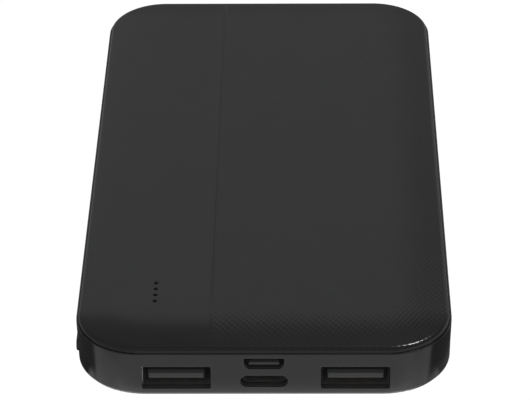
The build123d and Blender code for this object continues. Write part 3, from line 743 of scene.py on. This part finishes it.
def mirrored_floor(g, x, y):
    """Brightness the glossy walls mirror: lit ahead of the ports, dim near the long sides."""
    front_y = -LENGTH / 2 * MM
    side_x = WIDTH / 2 * MM

    def ahead_band(start, end):
        return front_y + start, front_y + end

    # the front zone's edge lies slightly further forward on the right
    shift = g.step(x, band=(-0.01, 0.01), levels=(0.0, 0.0014))
    front = g.step(g.math("ADD", y, shift), band=ahead_band(0.0037, 0.0047), levels=FALL)

    # brightness ahead of the ports, raised close to the foot
    close = g.step(g.absolute(x), band=(0.021, 0.031), levels=(1.45, 0.90))
    flank_rise = g.step(g.absolute(x), band=(0.021, 0.026), levels=(1.0, 1.35))
    flank = g.step(g.absolute(x), band=(0.028, 0.032), levels=(flank_rise, 1.0))
    foot = g.times(g.step(y, band=ahead_band(-0.0048, -0.0020), levels=(1.0, close)),
                   g.step(y, band=ahead_band(-0.0034, -0.0018), levels=(1.0, flank)))
    ahead = g.times(
        g.step(y, band=ahead_band(-0.0068, -0.002), levels=(FRONT_FAR, FRONT_NEAR)), foot)

    # dimmer towards the two front corners
    left_corner = g.step(g.absolute(x), band=(0.028, 0.041), levels=(1.0, 0.62))
    slant = g.step(y, band=ahead_band(-0.009, -0.004), levels=(0.0, 0.006))
    right_corner = g.step(g.math("ADD", x, slant), band=(0.036, 0.045), levels=(1.0, 0.66))
    corners = g.pick(g.step(x, band=(-0.01, 0.01)), left_corner, right_corner)

    # beside and behind: dim near the walls, with a faint glow along the right foot
    glow = g.times(g.step(x, band=(0.02, 0.03)),
                   g.step(x, band=(side_x + 0.0018, side_x + 0.004), levels=FALL))
    near = g.pick(glow, SIDE_NEAR, 0.09)
    aside = g.step(g.absolute(x), band=(side_x + 0.018, side_x + 0.05),
                   levels=(near, SIDE_FAR))
    behind = g.step(y, band=(0.09, 0.13), levels=(SIDE_NEAR, SIDE_FAR))
    far = g.math("MAXIMUM", aside, behind)

    # lit again in a narrow band round the foot of the two front corners
    radius = 12.8
    side = g.absolute(x)
    past_x = g.math("MAXIMUM", g.math("SUBTRACT", side, (WIDTH / 2 - radius) * MM), 0.0)
    forward = g.times(y, -1.0)
    past_y = g.math("MAXIMUM", g.math("SUBTRACT", forward, (LENGTH / 2 - radius) * MM), 0.0)
    squares = g.math("ADD", g.times(past_x, past_x), g.times(past_y, past_y))
    clear = g.math("SUBTRACT", g.math("POWER", squares, 0.5), 0.0128)
    lit = g.times(g.step(clear, band=(0.0016, 0.0043), levels=(0.55, 0.0)),
                  g.step(y, band=ahead_band(0.0060, 0.0078), levels=FALL))
    contact = g.times(lit, g.step(side, band=(0.029, 0.031)))
    return g.math("MAXIMUM", g.pick(front, far, g.times(ahead, corners)), contact)


def build_floor():
    material = bpy.data.materials.new("pale_floor")
    material.use_nodes = True
    material.node_tree.nodes.clear()
    g = Graph(material.node_tree)
    x, y, _ = g.axes(g.node("ShaderNodeNewGeometry").outputs["Position"])
    is_glossy = g.node("ShaderNodeLightPath").outputs["Is Glossy Ray"]
    strength = g.pick(is_glossy, FLOOR_SEEN, mirrored_floor(g, x, y))
    diffuse = g.node("ShaderNodeBsdfDiffuse", {"Color": (FLOOR_ALBEDO,) * 3})
    glow = g.node("ShaderNodeEmission", {"Color": (1, 1, 1), "Strength": strength})
    both = g.node("ShaderNodeAddShader", {0: diffuse.outputs[0], 1: glow.outputs[0]})
    g.node("ShaderNodeOutputMaterial", {"Surface": both.outputs[0]})

    mesh = bpy.data.meshes.new("floor")
    angles = [2 * math.pi * i / FLOOR_SIDES for i in range(FLOOR_SIDES)]
    rim = [(FLOOR_RADIUS * math.cos(a), FLOOR_RADIUS * math.sin(a), 0.0) for a in angles]
    mesh.from_pydata(rim, [], [tuple(range(FLOOR_SIDES))])
    mesh.materials.append(material)
    add_object("floor", mesh)


build_floor()


# ---------------------------------------------------------------- world and light
BACK_LOW, BACK_HIGH = 0.50, 0.235           # sky behind: near the horizon, higher up
FRONT_LOW, FRONT_SKY = 0.33, 0.235          # sky on the camera's side: lower, overhead
DIFFUSE_SKY = 0.45


def mirrored_sky(g, x, y, z):
    """Brightness glossy surfaces mirror, over the components of the ray's direction."""
    # backdrop low behind the object, its border bowed towards the sides
    sideways = g.math("MAXIMUM", g.math("SUBTRACT", g.absolute(x), 0.06), 0.0)
    upwards = g.math("MAXIMUM", g.math("SUBTRACT", 0.83, y), 0.0)
    bowed = g.math("SUBTRACT", y, g.times(g.times(sideways, upwards), 7.0))
    back = g.step(bowed, band=(math.cos(math.radians(46.2)), math.cos(math.radians(42.4))),
                  levels=(BACK_HIGH, BACK_LOW))
    front = g.step(z, band=(0.80, 0.96), levels=(FRONT_LOW, FRONT_SKY))
    base = g.step(y, band=(-0.25, 0.15), levels=(front, back))

    # dimmer to the right, with a brighter patch low down
    not_behind = g.step(y, band=(0.58, 0.80), levels=FALL)
    patch_behind = g.times(g.step(z, band=(0.38, 0.50), levels=FALL),
                           g.step(z, band=(0.20, 0.34)))
    patch_beside = g.step(z, band=(0.24, 0.38), levels=FALL)
    patch = g.times(g.step(x, band=(0.24, 0.36)),
                    g.pick(not_behind, patch_behind, patch_beside))
    side = g.pick(patch, g.step(x, band=(0.05, 0.19), levels=(1.0, 0.72)),
                  g.pick(not_behind, 1.35, 2.4))

    # two falls in brightness towards straight behind
    horizon = g.times(g.step(y, band=(0.80, 0.90), levels=(1.0, 0.72)),
                      g.step(y, band=(0.90, 0.98), levels=(1.0, 0.5)))
    return g.times(g.times(base, side), horizon)


def build_world():
    world = bpy.data.worlds.new("studio")
    scene.world = world
    world.use_nodes = True
    world.node_tree.nodes.clear()
    g = Graph(world.node_tree)
    x, y, z = g.axes(g.node("ShaderNodeTexCoord").outputs["Generated"])
    ray = g.node("ShaderNodeLightPath").outputs
    seen = g.pick(ray["Is Glossy Ray"], 1.0, mirrored_sky(g, x, y, z))
    strength = g.pick(ray["Is Diffuse Ray"], seen, DIFFUSE_SKY)
    background = g.node("ShaderNodeBackground", {"Color": (1, 1, 1), "Strength": strength})
    g.node("ShaderNodeOutputWorld", {"Surface": background.outputs[0]})


def add_disk_light(name, direction, distance, size, power, target):
    """Disk light at a distance from the target, facing it."""
    data = bpy.data.lights.new(name, "AREA")
    data.shape = "DISK"
    data.size = size
    data.energy = power
    light = add_object(name, data)
    away = Vector(direction).normalized()
    light.location = Vector(target) + away * distance
    light.rotation_mode = "QUATERNION"
    light.rotation_quaternion = away.to_track_quat("Z", "Y")


build_world()
add_disk_light("key_light", direction=(0.31, 0.22, 0.925), distance=1.2, size=0.16, power=4.6,
               target=(0, 0, 0.006))
scene.view_settings.view_transform = "Standard"
scene.view_settings.look = "None"

# ---------------------------------------------------------------- camera
ELEVATION = math.radians(33.167)
YAW = math.radians(-0.853)
ROLL = math.radians(-0.549)
CAMERA_DISTANCE = 547.455
SENSOR_WIDTH, LENS, SHIFT_X = 36.0, 181.353736, -0.00380754717


def build_camera():
    """Camera in front and above, looking at the origin at the height of the frame's underside."""
    forward = Vector((0, math.cos(ELEVATION), -math.sin(ELEVATION)))
    level, upright = Vector((1, 0, 0)), Vector((0, math.sin(ELEVATION), math.cos(ELEVATION)))
    right = math.cos(ROLL) * level + math.sin(ROLL) * upright
    up = -math.sin(ROLL) * level + math.cos(ROLL) * upright
    turn = Matrix.Rotation(-YAW, 3, "Z")
    forward, right, up = turn @ forward, turn @ right, turn @ up

    data = bpy.data.cameras.new("camera")
    data.sensor_width = SENSOR_WIDTH
    data.lens = LENS
    data.shift_x = SHIFT_X
    data.clip_start, data.clip_end = 0.01, 60
    camera = add_object("camera", data)
    pose = Matrix((right, up, -forward)).transposed().to_4x4()
    pose.translation = (-forward * CAMERA_DISTANCE + Vector((0, 0, FLOOR_Z))) * MM
    camera.matrix_world = pose
    scene.camera = camera


build_camera()
